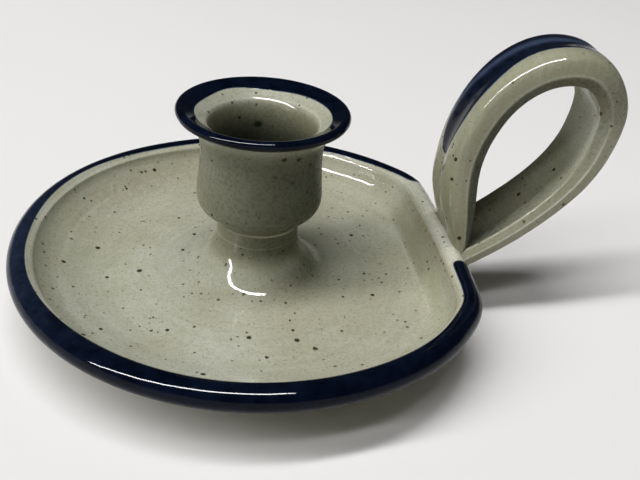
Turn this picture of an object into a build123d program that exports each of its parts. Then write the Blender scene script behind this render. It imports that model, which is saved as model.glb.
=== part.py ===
from build123d import *
from math import atan2, cos, radians, sin, sqrt
import os

# Stoneware chamberstick: a thrown dish with one side pushed in flat, a candle cup on a short stem,
# and a pulled strap bent into a finger loop. The origin is on the table, under the dish's centre.
# The handle points along +X. Lengths are in millimetres and angles in degrees.

# Dish
dish_radius = 60.0  # to the widest line of the rolled rim
rim_height = 15.5  # table to the widest line of the rim
rim_thickness = 6.0  # across the rolled rim
wall_thickness = 4.0  # just under the roll
base_inset = 19.0  # from the widest line in to the edge of the flat underside
floor_height = 8.5  # table to the floor of the dish
floor_inset = 14.0  # from the widest line in to the edge of the flat floor
dent_depth = 8.5  # how far the handle side is pushed in
dent_corner = 16.0  # rounding at the two ends of the pushed-in side
mound_radius = 26.5  # foot of the raised middle
mound_height = 5.3  # floor to the seat of the stem

# Foot ring
foot_inset = 3.0  # from the edge of the underside in to the foot
foot_width = 5.0
foot_height = 2.5
foot_round = 0.8

# Stem
stem_seat_radius = 15.0
stem_neck_radius = 10.2
stem_height = 9.9

# Candle cup
cup_height = 28.9  # underside to the top of the lip
cup_floor = 2.9  # underside to the bottom of the bore
bore_radius = 12.0
mouth_depth = 7.5  # flared top of the bore
belly_wall = 3.3  # bore to the widest line of the body
belly_height = 6.7  # underside to that line
waist_wall = 2.35  # bore to the start of the flare
waist_height = 17.3  # underside to the start of the flare
lip_reach = 8.2  # bore to the edge of the lip
lip_thickness = 2.0
cup_joint_radius = 1.1  # slip worked round the seam under the cup

# Handle
strap_width = 17.8
strap_thickness = 6.8
thumb_groove = 0.5  # hollow along the strap's outer face
finger_hollow = 0.9  # hollow along the strap's inner face
handle_seat = 0.4  # strap's middle inside the dented rim's outer line
handle_lean = 4.4  # upper limb's lean towards the cup
handle_rise = 23.9  # rim to the start of the bend
shoulder_radius = 26.9
shoulder_angle = 72.0
crown_radius = 11.8
crown_angle = 80.0
turn_angle = 48.0  # rest of the crown's bend, past the brush stroke
upper_joint_height = 9.0
upper_joint_width = 22.0
upper_joint_thickness = 4.4
lower_joint_seat = 2.5  # lower end inside the dented rim's outer line
lower_joint_drop = 2.0  # lower end under the rim's widest line
lower_joint_width = 19.4
lower_joint_thickness = 5.0
strap_return_share = 0.8  # part of the lower limb that is still plain strap

# Blue coats
coat_thickness = 0.5
rim_coat_low_angle = -50.0  # outer edge of the coat, round the roll from level
rim_coat_sweep = 195.0
rim_coat_clearance = 2.4  # near end of the coat to the handle's joints
rim_coat_far_run = 1.0  # far end of the coat past the corner of the dented side
lip_coat_width = 4.0  # from the edge of the lip in to the coat's inner edge
lip_coat_drop = 2.6  # top of the lip to the coat's lower edge outside
stroke_near_share = 0.5  # brush stroke's near edge, of half the strap's width
stroke_far_share = 0.75
overrun = 2.0  # how far a cutting shape passes the surface that it cuts

# Outside of the dish from its underside to the roll, and the hollow from its floor to the roll:
# height, distance from the underside's edge to the roll, and depth of the dent, level by level
wall_rise_shares = (0.0, 0.3, 0.65, 1.0)
wall_reach_shares = (0.0, 0.5, 0.84, 1.0)
wall_dent_shares = (0.1, 0.7, 0.95, 1.0)
hollow_rise_shares = (0.0, 0.14, 0.5, 1.0)
hollow_reach_shares = (0.0, 0.5, 0.85, 1.0)
hollow_dent_shares = (1.0, 1.0, 1.0, 1.0)

roll_radius = rim_thickness / 2
roll_line = dish_radius - roll_radius
dent_line = dish_radius - dent_depth
base_radius = dish_radius - base_inset
floor_radius = dish_radius - floor_inset
foot_radius = base_radius - foot_inset
stem_seat_height = floor_height + mound_height
cup_base_height = stem_seat_height + stem_height
lip_height = cup_base_height + cup_height
bore_bottom = cup_base_height + cup_floor
mouth_height = lip_height - mouth_depth
belly_radius = bore_radius + belly_wall
waist_radius = bore_radius + waist_wall
lip_radius = bore_radius + lip_reach
flare_slope = 2 * atan2(mound_height, mound_radius - stem_seat_radius)


def between(start, end, share):
    """Value that lies the given share of the way from start to end."""
    return start + share * (end - start)


def dent_points(radius, dent, corner):
    """End of the flat, middle of the corner and end of the corner, on the +Y side of a dented outline."""
    flat = radius - dent
    corner_x = flat - corner
    corner_y = sqrt(dent * (radius + flat - 2 * corner))
    turn = atan2(corner_y, corner_x)
    bend = (corner_x + corner * cos(turn / 2), corner_y + corner * sin(turn / 2))
    shoulder = (radius * cos(turn), radius * sin(turn))
    return (flat, corner_y), bend, shoulder


def mirrored(point):
    """Point on the other side of the handle's plane."""
    return (point[0], -point[1])


def dented_outline(height, radius, dent, corner):
    """Round face at a height, with its +X side pushed in flat and both corners rounded."""
    end, bend, shoulder = dent_points(radius, dent, corner)
    with BuildSketch(Plane.XY.offset(height)) as outline:
        with BuildLine():
            Line(mirrored(end), end)
            ThreePointArc(end, bend, shoulder)
            ThreePointArc(shoulder, (-radius, 0), mirrored(shoulder))
            ThreePointArc(mirrored(shoulder), mirrored(bend), mirrored(end))
        make_face()
    return outline.sketch


def dish_levels(bottom, top, inner, outer, rises, reaches, dents):
    """Dented outlines of the dish, level by level from the bottom to the top."""
    levels = []
    for rise, reach, dent in zip(rises, reaches, dents):
        radius = between(inner, outer, reach)
        corner = dent_corner * radius / dish_radius
        levels.append(dented_outline(between(bottom, top, rise), radius, dent_depth * dent, corner))
    return levels


def strap_section(plane, width, thickness):
    """Strap cross-section with round edges, a thumb groove outside and a finger hollow inside."""
    edge = thickness / 2
    reach = width / 2 - edge
    with BuildSketch(plane) as section:
        with BuildLine():
            ThreePointArc((-reach, edge), (0, edge - thumb_groove), (reach, edge))
            ThreePointArc((reach, edge), (width / 2, 0), (reach, -edge))
            ThreePointArc((reach, -edge), (0, finger_hollow - edge), (-reach, -edge))
            ThreePointArc((-reach, -edge), (-width / 2, 0), (-reach, edge))
        make_face()
    return section


def across(path, share):
    """Plane square to the handle's path, with its X along the strap's width and its Y out of the loop."""
    return Plane(origin=path @ share, x_dir=(0, 1, 0), z_dir=path % share)


# Line of the rolled rim, and the stretch of it that carries the blue coat
roll_end, roll_bend, roll_shoulder = dent_points(roll_line, dent_depth, dent_corner - roll_radius)
rim_coat_near_end = max(upper_joint_width, lower_joint_width) / 2 + rim_coat_clearance
rim_coat_far_end = roll_end[1] - rim_coat_far_run
with BuildLine(Plane.XY.offset(rim_height)) as coat_line:
    Line((roll_end[0], -rim_coat_near_end), mirrored(roll_end))
    ThreePointArc(mirrored(roll_end), mirrored(roll_bend), mirrored(roll_shoulder))
    ThreePointArc(mirrored(roll_shoulder), (-roll_line, 0), roll_shoulder)
    ThreePointArc(roll_shoulder, roll_bend, roll_end)
    Line(roll_end, (roll_end[0], rim_coat_far_end))
roll_face = dented_outline(rim_height, roll_line, dent_depth, dent_corner - roll_radius)
roll_wire = roll_face.face().outer_wire()

# Blue coat on the dish's rim: a skin round the top of the roll, open along the handle's stretch
coat_wire = coat_line.wire()
coat_start = Plane(origin=coat_wire @ 0, x_dir=(1, 0, 0), z_dir=coat_wire % 0)
with BuildPart() as dish_rim_band:
    with BuildSketch(coat_start):
        with BuildLine():
            face_edge = CenterArc((0, 0), roll_radius, rim_coat_low_angle, rim_coat_sweep)
            back_edge = CenterArc((0, 0), roll_radius - coat_thickness, rim_coat_low_angle, rim_coat_sweep)
            Line(face_edge @ 0, back_edge @ 0)
            Line(face_edge @ 1, back_edge @ 1)
        make_face()
    sweep(path=coat_wire)
dish_rim_band.part.label = "dish_rim_band"

# Dish: dented bowl with its rolled rim and its raised middle
with BuildPart() as dish:
    loft(
        sections=dish_levels(
            foot_height,
            rim_height,
            base_radius,
            roll_line + wall_thickness / 2,
            wall_rise_shares,
            wall_reach_shares,
            wall_dent_shares,
        )
    )
    loft(
        sections=dish_levels(
            floor_height,
            rim_height,
            floor_radius,
            roll_line - wall_thickness / 2,
            hollow_rise_shares,
            hollow_reach_shares,
            hollow_dent_shares,
        ),
        mode=Mode.SUBTRACT,
    )
    with BuildSketch(Plane(origin=roll_wire @ 0, z_dir=roll_wire % 0)):
        Circle(roll_radius)
    sweep(path=roll_wire)
    with BuildSketch(Plane.XZ):
        with BuildLine():
            Polyline((mound_radius, floor_height), (0, floor_height), (0, stem_seat_height))
            Line((0, stem_seat_height), (stem_seat_radius, stem_seat_height))
            TangentArc((mound_radius, floor_height), (stem_seat_radius, stem_seat_height), tangent=(-1, 0))
        make_face()
    revolve(axis=Axis.Z)
    add(dish_rim_band.part, mode=Mode.SUBTRACT)
dish.part.label = "dish"

# Foot ring under the dish
with BuildPart() as foot_ring:
    with BuildSketch():
        Circle(foot_radius)
        Circle(foot_radius - foot_width, mode=Mode.SUBTRACT)
    extrude(amount=foot_height)
    fillet(foot_ring.faces().sort_by(Axis.Z)[0].edges(), foot_round)
foot_ring.part.label = "foot_ring"

# Stem: flares on from the raised middle and narrows to the neck under the cup
with BuildPart() as stem:
    with BuildSketch(Plane.XZ):
        with BuildLine():
            Polyline((stem_neck_radius, cup_base_height), (0, cup_base_height), (0, stem_seat_height))
            Line((0, stem_seat_height), (stem_seat_radius, stem_seat_height))
            TangentArc(
                (stem_seat_radius, stem_seat_height),
                (stem_neck_radius, cup_base_height),
                tangent=(-cos(flare_slope), sin(flare_slope)),
            )
        make_face()
    revolve(axis=Axis.Z)
stem.part.label = "stem"

# Half-section of the candle cup, from its underside out over the lip and down into the bore
lip_half = lip_thickness / 2
with BuildSketch(Plane.XZ) as cup_section:
    with BuildLine():
        belly = (belly_radius, cup_base_height + belly_height)
        waist = (waist_radius, cup_base_height + waist_height)
        lip_top = (lip_radius - lip_half, lip_height)
        lip_under = (lip_radius - lip_half, lip_height - lip_thickness)
        TangentArc(belly, (stem_neck_radius, cup_base_height), tangent=(0, -1))
        Spline(belly, waist, tangents=((0, 1), (0, 1)))
        TangentArc(waist, lip_under, tangent=(0, 1))
        ThreePointArc(lip_under, (lip_radius, lip_height - lip_half), lip_top)
        TangentArc((bore_radius, mouth_height), lip_top, tangent=(0, 1))
        Polyline((bore_radius, mouth_height), (bore_radius, bore_bottom), (0, bore_bottom))
        Polyline((0, bore_bottom), (0, cup_base_height), (stem_neck_radius, cup_base_height))
    make_face()

# Part of that section that the lip's blue coat takes
with BuildSketch(Plane.XZ) as lip_coat_section:
    add(cup_section.sketch_local)
    offset(lip_coat_section.faces(), amount=-coat_thickness, mode=Mode.SUBTRACT)
    with Locations((lip_radius - lip_coat_width, lip_height - lip_coat_drop)):
        Rectangle(
            lip_coat_width + overrun,
            lip_coat_drop + overrun,
            align=(Align.MIN, Align.MIN),
            mode=Mode.INTERSECT,
        )

# Blue coat on the cup's lip
with BuildPart() as cup_lip_band:
    add(lip_coat_section.sketch)
    revolve(axis=Axis.Z)
cup_lip_band.part.label = "cup_lip_band"

# Candle cup under that coat
with BuildPart() as candle_cup:
    add(cup_section.sketch)
    revolve(axis=Axis.Z)
    add(cup_lip_band.part, mode=Mode.SUBTRACT)
candle_cup.part.label = "candle_cup"

# Slip worked round the seam between the stem and the cup
with BuildPart() as cup_joint:
    with BuildSketch(Plane.XZ):
        with Locations((stem_neck_radius, cup_base_height)):
            Circle(cup_joint_radius)
    revolve(axis=Axis.Z)
    add(stem.part, mode=Mode.SUBTRACT)
    add(candle_cup.part, mode=Mode.SUBTRACT)
cup_joint.part.label = "cup_joint"

# Line of the handle: up from the rim, over the crown and back under the rim
lean = (-sin(radians(handle_lean)), cos(radians(handle_lean)))
upper_foot = (dent_line - handle_seat, rim_height)
lower_foot = (dent_line - lower_joint_seat, rim_height - lower_joint_drop)
with BuildLine(Plane.XZ) as handle_line:
    upper_run = PolarLine(upper_foot, upper_joint_height, direction=lean)
    rise = PolarLine(upper_run @ 1, handle_rise - upper_joint_height, direction=lean)
    shoulder = JernArc(rise @ 1, lean, shoulder_radius, -shoulder_angle)
    crown = JernArc(shoulder @ 1, shoulder % 1, crown_radius, -crown_angle)
    turn = JernArc(crown @ 1, crown % 1, crown_radius, -turn_angle)
    limb = TangentArc(turn @ 1, lower_foot, tangent=turn % 1)
strap_limb = limb.trim(0, strap_return_share)

# Clay spread from the strap's upper end on to the rim
with BuildPart() as upper_handle_joint:
    loft(
        sections=[
            strap_section(across(upper_run, 0), upper_joint_width, upper_joint_thickness).sketch,
            strap_section(across(upper_run, 1), strap_width, strap_thickness).sketch,
        ]
    )
    add(dish.part, mode=Mode.SUBTRACT)
upper_handle_joint.part.label = "upper_handle_joint"

# Clay spread from the strap's lower end on to the wall under the rim
with BuildPart() as lower_handle_joint:
    loft(
        sections=[
            strap_section(across(limb, strap_return_share), strap_width, strap_thickness).sketch,
            strap_section(across(limb, 1), lower_joint_width, lower_joint_thickness).sketch,
        ]
    )
    add(dish.part, mode=Mode.SUBTRACT)
    add(upper_handle_joint.part, mode=Mode.SUBTRACT)
lower_handle_joint.part.label = "lower_handle_joint"

# Part of the strap's section that the blue stroke takes, on its outer face
stroke_start = across(shoulder, 0)
half_strap = strap_width / 2
with BuildSketch(stroke_start) as stroke_section:
    add(strap_section(stroke_start, strap_width, strap_thickness).sketch_local)
    offset(stroke_section.faces(), amount=-coat_thickness, mode=Mode.SUBTRACT)
    with Locations((-half_strap * stroke_near_share, 0)):
        Rectangle(
            half_strap * (stroke_near_share + stroke_far_share),
            strap_thickness + overrun,
            align=(Align.MIN, Align.MIN),
            mode=Mode.INTERSECT,
        )

# Blue brush stroke over the shoulder and the crown of the handle
with BuildPart() as handle_stroke:
    sweep(sections=stroke_section.sketch, path=Wire([shoulder, crown]))
handle_stroke.part.label = "handle_stroke"

# Strap between the two joints
with BuildPart() as handle_strap:
    sweep(
        sections=strap_section(across(rise, 0), strap_width, strap_thickness).sketch,
        path=Wire([rise, shoulder, crown, turn, strap_limb]),
    )
    add(handle_stroke.part, mode=Mode.SUBTRACT)
handle_strap.part.label = "handle_strap"

pieces = (
    dish,
    foot_ring,
    stem,
    candle_cup,
    cup_joint,
    handle_strap,
    upper_handle_joint,
    lower_handle_joint,
    dish_rim_band,
    cup_lip_band,
    handle_stroke,
)
os.makedirs("parts", exist_ok=True)
for piece in pieces:
    export_step(piece.part, f"parts/{piece.part.label}.step")
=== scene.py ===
import bpy
import math
import numpy as np
from mathutils import Matrix, Vector


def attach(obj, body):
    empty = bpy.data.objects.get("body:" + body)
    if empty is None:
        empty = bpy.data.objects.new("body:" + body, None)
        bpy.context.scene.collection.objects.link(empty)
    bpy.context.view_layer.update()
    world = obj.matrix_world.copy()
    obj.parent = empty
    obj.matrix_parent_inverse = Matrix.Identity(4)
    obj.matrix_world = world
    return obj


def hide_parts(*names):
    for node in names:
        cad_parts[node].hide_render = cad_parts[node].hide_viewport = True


# Glazed stoneware chamberstick. Shapes are worked out in millimetres and built in metres.
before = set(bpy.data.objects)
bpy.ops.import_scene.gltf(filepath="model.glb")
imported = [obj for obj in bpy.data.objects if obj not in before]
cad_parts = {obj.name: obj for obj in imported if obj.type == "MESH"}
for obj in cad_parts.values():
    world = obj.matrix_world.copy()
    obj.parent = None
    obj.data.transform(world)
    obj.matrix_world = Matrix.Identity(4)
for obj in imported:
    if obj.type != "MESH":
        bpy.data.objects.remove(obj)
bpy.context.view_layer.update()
millimetre = 0.001
samples_per_span = 60  # of a curve, between two of its points


# Curves and meshes

def smooth_step(low, high, value):
    """0 at low and 1 at high, level beyond both and smooth between. Low may be the higher."""
    share = np.clip((np.asarray(value, float) - low) / (high - low), 0.0, 1.0)
    return share * share * (3.0 - 2.0 * share)


def hump(middle, width, value):
    """Bell-shaped hump of height 1."""
    return np.exp(-(((np.asarray(value, float) - middle) / width) ** 2))


def bulge(shape, value):
    """Bell-shaped bulge, given as its height, its middle and its width."""
    height, middle, width = shape
    return height * hump(middle, width, value)


def turn_from(middle, angles):
    """Turn from one angle to others, the shorter way round."""
    return np.angle(np.exp(1j * (angles - middle)))


def soft_least(values, blend):
    """Least of several distances, rounded where they meet."""
    return -blend * np.log(sum(np.exp(-np.asarray(v) / blend) for v in values))


def wave(angle, strengths, seed):
    """Slow uneven wave round the pot, with one strength per number of crests."""
    offsets = np.random.default_rng(seed).uniform(0, 2 * math.pi, len(strengths))
    crests = enumerate(zip(strengths, offsets), start=2)
    return sum(strength * np.sin(count * angle + offset) for count, (strength, offset) in crests)


def line_travel(line):
    """Distance along a line of points, at each of them."""
    steps = np.linalg.norm(np.diff(line, axis=0), axis=1)
    return np.concatenate([[0], np.cumsum(steps)])


def curve_piece(before, start, end, after, share):
    """Points from start to end of a smooth curve through four points."""
    runs = ((before, start), (start, end), (end, after))
    lead, gap, trail = (np.sqrt(np.linalg.norm(q - p, axis=-1, keepdims=True)) for p, q in runs)
    start_slope = gap * ((start - before) / lead - (end - before) / (lead + gap) + (end - start) / gap)
    end_slope = gap * ((end - start) / gap - (after - start) / (gap + trail) + (after - end) / trail)
    return (
        (2 * share**3 - 3 * share**2 + 1) * start
        + (share**3 - 2 * share**2 + share) * start_slope
        + (3 * share**2 - 2 * share**3) * end
        + (share**3 - share**2) * end_slope
    )


def curve_through(points, count):
    """Even samples of a smooth curve through the points."""
    knots = np.asarray(points, float)
    padded = np.vstack([2 * knots[0] - knots[1], knots, 2 * knots[-1] - knots[-2]])
    shares = np.linspace(0, 1, samples_per_span, endpoint=False)[:, None]
    spans = [curve_piece(*padded[k : k + 4], shares) for k in range(len(knots) - 1)]
    fine = np.vstack(spans + [knots[-1:]])
    travel = line_travel(fine)
    places = np.linspace(0, travel[-1], count)
    return np.stack([np.interp(places, travel, part) for part in fine.T], axis=1)


def closed_curve(points, places):
    """Smooth closed curve through the points, at places that are counted in points."""
    knots = np.asarray(points, float)
    before = np.floor(places).astype(int)
    around = [knots[(before + step) % len(knots)] for step in (-1, 0, 1, 2)]
    return curve_piece(*around, (places - before)[:, None])


def ring_points(radius, height, angles):
    """Points of one ring round the axis."""
    level = np.broadcast_to(height, angles.shape)
    return np.stack([radius * np.cos(angles), radius * np.sin(angles), level], axis=1)


def unit(vectors):
    """Vectors brought to length 1."""
    return vectors / np.maximum(np.linalg.norm(vectors, axis=-1, keepdims=True), 1e-9)


def grid_normals(grid, round_rows):
    """Unit normals of a grid of points: the way across its rows crossed with the way along them."""
    if round_rows:
        along = np.roll(grid, -1, axis=0) - np.roll(grid, 1, axis=0)
    else:
        along = np.gradient(grid, axis=0)
    return unit(np.cross(along, np.gradient(grid, axis=1)))


def make_piece(name, points, faces, fields):
    """Mesh object with smooth faces and one value per point for each named field."""
    mesh = bpy.data.meshes.new(name)
    mesh.from_pydata((np.asarray(points) * millimetre).tolist(), [], faces)
    mesh.polygons.foreach_set("use_smooth", [True] * len(mesh.polygons))
    for field, values in fields.items():
        attribute = mesh.attributes.new(field, "FLOAT", "POINT")
        attribute.data.foreach_set("value", np.asarray(values, np.float32).ravel())
    mesh.validate()
    mesh.update()
    piece = bpy.data.objects.new(name, mesh)
    bpy.context.scene.collection.objects.link(piece)
    return piece


def quads(rows, columns, round_rows, round_columns):
    """Faces of a grid of points, listed row by row."""
    faces = []
    for row in range(rows if round_rows else rows - 1):
        here = row * columns
        there = (row + 1) % rows * columns
        for j in range(columns if round_columns else columns - 1):
            k = (j + 1) % columns
            faces.append((here + j, there + j, there + k, here + k))
    return faces


def capped_piece(name, grid, fields, round_rows):
    """Closed piece from a grid that runs round by its rows or else its columns, capped at both ends."""
    rows, columns = grid.shape[:2]
    end_axis = 1 if round_rows else 0

    def with_middles(values):
        middles = np.take(values, (0, -1), axis=end_axis).mean(axis=1 - end_axis)
        return np.concatenate([values.reshape(-1, *values.shape[2:]), middles])

    faces = quads(rows, columns, round_rows, not round_rows)
    numbers = np.arange(rows * columns).reshape(rows, columns)
    for end, middle, forward in ((0, rows * columns, not round_rows), (-1, rows * columns + 1, round_rows)):
        ring = np.take(numbers, end, axis=end_axis)
        ring = ring if forward else ring[::-1]
        faces += [(i, j, middle) for i, j in zip(ring.tolist(), np.roll(ring, -1).tolist())]
    whole = {field: with_middles(np.asarray(values, float)) for field, values in fields.items()}
    return make_piece(name, with_middles(grid), faces, whole)


def crease_ring(piece, columns, column):
    """Sharp edge along one ring of a turned piece."""
    mesh = piece.data
    ends = np.zeros(2 * len(mesh.edges), np.int32)
    mesh.edges.foreach_get("vertices", ends)
    on_ring = (ends.reshape(-1, 2) % columns == column).all(axis=1)
    attribute = mesh.attributes.new("sharp_edge", "BOOLEAN", "EDGE")
    attribute.data.foreach_set("value", on_ring)


skin_sink = 0.04  # how far a skin lies under the clay where it carries no coat
skin_rise = 0.16
skin_depth = 0.3


def skin_piece(name, grid, normals, coat, round_rows=False, rise=skin_rise, depth=skin_depth):
    """Closed thin skin on a surface: it rises with the coat, and its underside lies at depth."""
    rows, columns = grid.shape[:2]
    top = grid + normals * (rise * coat - skin_sink)[..., None]
    under = grid - normals * depth
    points = np.concatenate([top, under[:, ::-1]], axis=1).reshape(-1, 3)
    round_count = 2 * columns
    faces = quads(rows, round_count, round_rows, True)
    if not round_rows:
        last = (rows - 1) * round_count
        for j in range(columns - 1):
            end = (j, j + 1, round_count - 2 - j, round_count - 1 - j)
            faces.append(end)
            faces.append(tuple(last + k for k in reversed(end)))
    return make_piece(name, points, faces, {"coat": np.concatenate([coat, coat[:, ::-1]], axis=1)})


# Dish

dish_radius = 60.0
roll_radius = 3.0
roll_height = 15.5
roll_drop = 2.3  # from the roll's middle to its underside
roll_fullness = 0.55  # power of the cosine that shapes the roll below its middle
rim_radius = dish_radius - roll_radius
dent_depth = 8.5
dent_corner = 13.0
foot_level = 2.5
stations = 600  # places round the rim
corner_ease = 12  # stations on either side that ease a corner of the rim
corner_ease_width = 5.0


def rim_stations():
    """Points of the rim's middle line, its outward directions, and distances along it from the dent."""
    flat = rim_radius - dent_depth
    corner_x = flat - dent_corner
    corner_y = math.sqrt(dent_depth * (rim_radius + flat - 2 * dent_corner))
    turn = math.atan2(corner_y, corner_x)
    runs = np.cumsum([corner_y, dent_corner * turn, rim_radius * (math.pi - turn)])
    travels = np.linspace(-runs[-1], runs[-1], stations, endpoint=False)
    travel = np.abs(travels)
    straight = flat + 1j * travel
    corner = corner_x + 1j * corner_y + dent_corner * np.exp(1j * (travel - runs[0]) / dent_corner)
    arc = rim_radius * np.exp(1j * (turn + (travel - runs[1]) / rim_radius))
    plan = np.select([travel < runs[0], travel < runs[1]], [straight, corner], arc)
    line = np.stack([plan.real, np.where(travels < 0, -1, 1) * plan.imag], axis=1)
    spread = np.arange(-corner_ease, corner_ease + 1)
    weights = hump(0.0, corner_ease_width, spread)
    weights /= weights.sum()
    line = sum(w * np.roll(line, k, axis=0) for w, k in zip(weights, spread))
    tangent = unit(np.roll(line, -1, axis=0) - np.roll(line, 1, axis=0))
    outward = np.stack([tangent[:, 1], -tangent[:, 0]], axis=1)
    return line, outward, travels


rim_line, rim_outward, rim_travel = rim_stations()
rim_angle = np.arctan2(rim_line[:, 1], rim_line[:, 0])

# Hand-thrown unevenness of the rim, outward and up: height, middle and width of each bulge
left_flat = (-0.45, 3.14, 0.45)
near_corner_flat = (-0.9, -0.62, 0.2)
far_sag = (-0.4, 1.92, 0.42)
dent_rise = (0.7, 0.0, 20.0)
rim_waves = (0.06, 0.06, 0.05)
rim_swell = bulge(left_flat, np.abs(rim_angle)) + bulge(near_corner_flat, rim_angle)
rim_swell += wave(rim_angle, rim_waves, 3)
rim_lift = bulge(far_sag, rim_angle) + wave(rim_angle, rim_waves, 4)
rim_lift += bulge(dent_rise, rim_travel)
rim_line = rim_line + rim_outward * rim_swell[:, None]

# Section of the wall: distance out from the rim's middle line, and height
inner_wall_points = [(-8.0, 9.3), (-6.4, 9.85), (-5.0, 10.9), (-4.0, 12.4), (-3.35, 14.2), (-2.98, 15.8)]
outer_wall_points = [
    (1.9, 13.35), (0.4, 12.1), (-2.4, 9.9), (-6.4, 7.1), (-11.0, 4.8), (-14.6, 3.1), (-16.2, foot_level),
]
inner_wall_samples = 26
outer_wall_samples = 30
roll_first_angle = 172.0
roll_last_angle = -56.0
roll_angle_step = 4.0
roll_angles = np.arange(roll_first_angle, roll_last_angle, -roll_angle_step)
roll_out = np.cos(np.radians(roll_angles))
roll_up = np.sin(np.radians(roll_angles))
below = roll_angles < 0
roll_out[below] = roll_out[below] ** roll_fullness
roll_reach = np.where(below, roll_drop, roll_radius)
roll_section = np.stack([roll_radius * roll_out, roll_height + roll_reach * roll_up], axis=1)
inner_wall = curve_through(inner_wall_points, inner_wall_samples)[:-1]
outer_wall = curve_through(outer_wall_points, outer_wall_samples)
wall_section = np.vstack([inner_wall, roll_section, outer_wall])
wall_travel = line_travel(wall_section)
roll_start = len(inner_wall)
roll_end = roll_start + len(roll_section)
inner_roll_columns = 11  # of the roll's columns, those that count as inside the dish

# How the section changes round the rim
lift_range = (4.0, 13.0)  # heights over which the rim's rise and fall sets in
dent_wall_swelling = (1.2, 0.0, 19.0)  # of the inner wall at the dent
dent_wall_foot = -7.8
dent_wall_top = -2.9
dent_fade_range = (3.0, 9.0)  # heights over which the outer wall takes up the dent
outside_out = -2.0  # the section's low outer wall lies further in than this

# Raised middle and stem in one line: distance from the axis, and height
middle_points = [
    (10.15, 23.7), (10.1, 21.0), (10.12, 19.3), (10.3, 18.1), (10.8, 16.88), (11.5, 15.64),
    (12.5, 14.21), (13.7, 12.61), (15.0, 11.17), (16.2, 10.25), (17.5, 9.63), (19.0, 9.22),
    (21.0, 8.96), (24.0, 8.77), (28.0, 8.63), (34.0, 8.55),
]
middle_samples = 900
middle_line = curve_through(middle_points, middle_samples)
stem_seat = 15.0  # distance from the axis at which the stem meets the dish
seat_gap = 0.05
seat_height = float(np.interp(stem_seat, middle_line[:, 0], middle_line[:, 1]))
hollow_inset = 0.3
hollow_depth = 1.5
hollow_middle = (12.0, 8.0)
hollow_foot = (stem_seat - hollow_inset, seat_height - hollow_depth)
seat_hollow = [hollow_middle, hollow_foot, (stem_seat, seat_height)]  # of the dish, under the stem
mound_step = 4
mound_line = middle_line[middle_line[:, 0] > stem_seat + seat_gap][::mound_step]
mound_line = np.vstack([seat_hollow, mound_line])

# Faint throwing ridges, and the base between the raised middle and the wall
mound_ridge = 0.016
mound_ridge_spacing = 3.3
mound_ridge_beat = 9.1  # spacing of the stretches in which the ridges swell and fade
mound_ridge_range = (20.0, 25.0)
ridge_drift = 0.6
ridge_drift_turn = 0.8
base_ridge = 0.012
base_ridge_spacing = 3.7
base_sag = 0.25
base_columns = 28
underside_radii = (38.5, 36.0, 32.0, 24.0, 12.0)
wall_start = len(mound_line) + base_columns

# How far the base rises towards the wall, and how much more at the far left, by distance out
slope_start = [(37.0, 0.0), (42.0, 0.3), (46.0, 0.9), (49.0, 1.5)]
bowl_profile = slope_start + [(50.5, 1.6), (52.0, 1.2), (53.0, 0.7), (54.1, 0.0)]
far_left_end = [(50.6, 2.0), (52.0, 2.35), (53.0, 2.3), (53.7, 1.65), (54.3, 0.6), (54.75, 0.0)]
far_left_profile = slope_start + far_left_end
bowl_angle_range = (0.6, 1.15)  # away from the dent
far_left_angle = 2.45
far_left_width = 1.05
far_left = hump(0.0, far_left_width, turn_from(far_left_angle, rim_angle))
profile_ease = np.linspace(-0.45, 0.45, 15)


def eased_profile(value, profile):
    """Height at a distance, with the corners of the profile eased."""
    places, heights = zip(*profile)
    return sum(np.interp(value + shift, places, heights) for shift in profile_ease) / len(profile_ease)


def bowl_rise(plan):
    """How far the base is raised towards the wall, away from the dent."""
    reach = np.hypot(plan[:, 0], plan[:, 1]) - rim_swell
    away = smooth_step(*bowl_angle_range, np.abs(rim_angle))
    return eased_profile(reach, bowl_profile) * away + eased_profile(reach, far_left_profile) * far_left


def section_points(point, inside):
    """One point of the wall's section, carried round the rim. Low on the outside, the dent fades out."""
    out, height = point
    plan = rim_line + rim_outward * out
    level = height + rim_lift * float(smooth_step(*lift_range, height))
    if inside:
        level = level + bowl_rise(plan)
    if inside and dent_wall_foot < out < dent_wall_top:
        share = (out - dent_wall_foot) / (dent_wall_top - dent_wall_foot)
        level = level + math.sin(math.pi * share) * bulge(dent_wall_swelling, rim_travel)
    if out < outside_out and height < dent_fade_range[1]:
        base = (rim_radius + out) * np.stack([np.cos(rim_angle), np.sin(rim_angle)], axis=1)
        fade = 1.0 - float(smooth_step(*dent_fade_range, height))
        plan = (1 - fade) * plan + fade * base
    return np.column_stack([plan, level])


def dish_grid():
    """Grid of the whole dish: out over the raised middle and the base, over the rim and back under."""
    columns = []
    for radius, height in mound_line:
        ridge = mound_ridge * math.sin(2 * math.pi * radius / mound_ridge_beat)
        ridge = ridge * float(smooth_step(*mound_ridge_range, radius))
        drift = ridge_drift * np.sin(rim_angle + ridge_drift_turn)
        level = height + ridge * np.sin(2 * math.pi * (radius + drift) / mound_ridge_spacing)
        columns.append(ring_points(radius, level, rim_angle))
    edge = columns[-1]
    wall_foot = section_points(wall_section[0], True)
    wall_foot[:, 2] -= bowl_rise(wall_foot)
    for share in np.linspace(0, 1, base_columns + 2)[1:-1]:
        ease = float(smooth_step(0.0, 1.0, share))
        column = (1 - share) * edge + share * wall_foot
        reach = np.hypot(column[:, 0], column[:, 1])
        ridge = base_ridge * np.sin(2 * math.pi * reach / base_ridge_spacing + rim_angle)
        column[:, 2] = (1 - ease) * edge[:, 2] + ease * wall_foot[:, 2]
        column[:, 2] += (ridge - base_sag) * math.sin(math.pi * share) + bowl_rise(column)
        columns.append(column)
    for place, point in enumerate(wall_section):
        columns.append(section_points(point, place < roll_start + inner_roll_columns))
    for radius in underside_radii:
        columns.append(ring_points(radius, foot_level, rim_angle))
    return np.stack(columns, axis=1)


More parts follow.
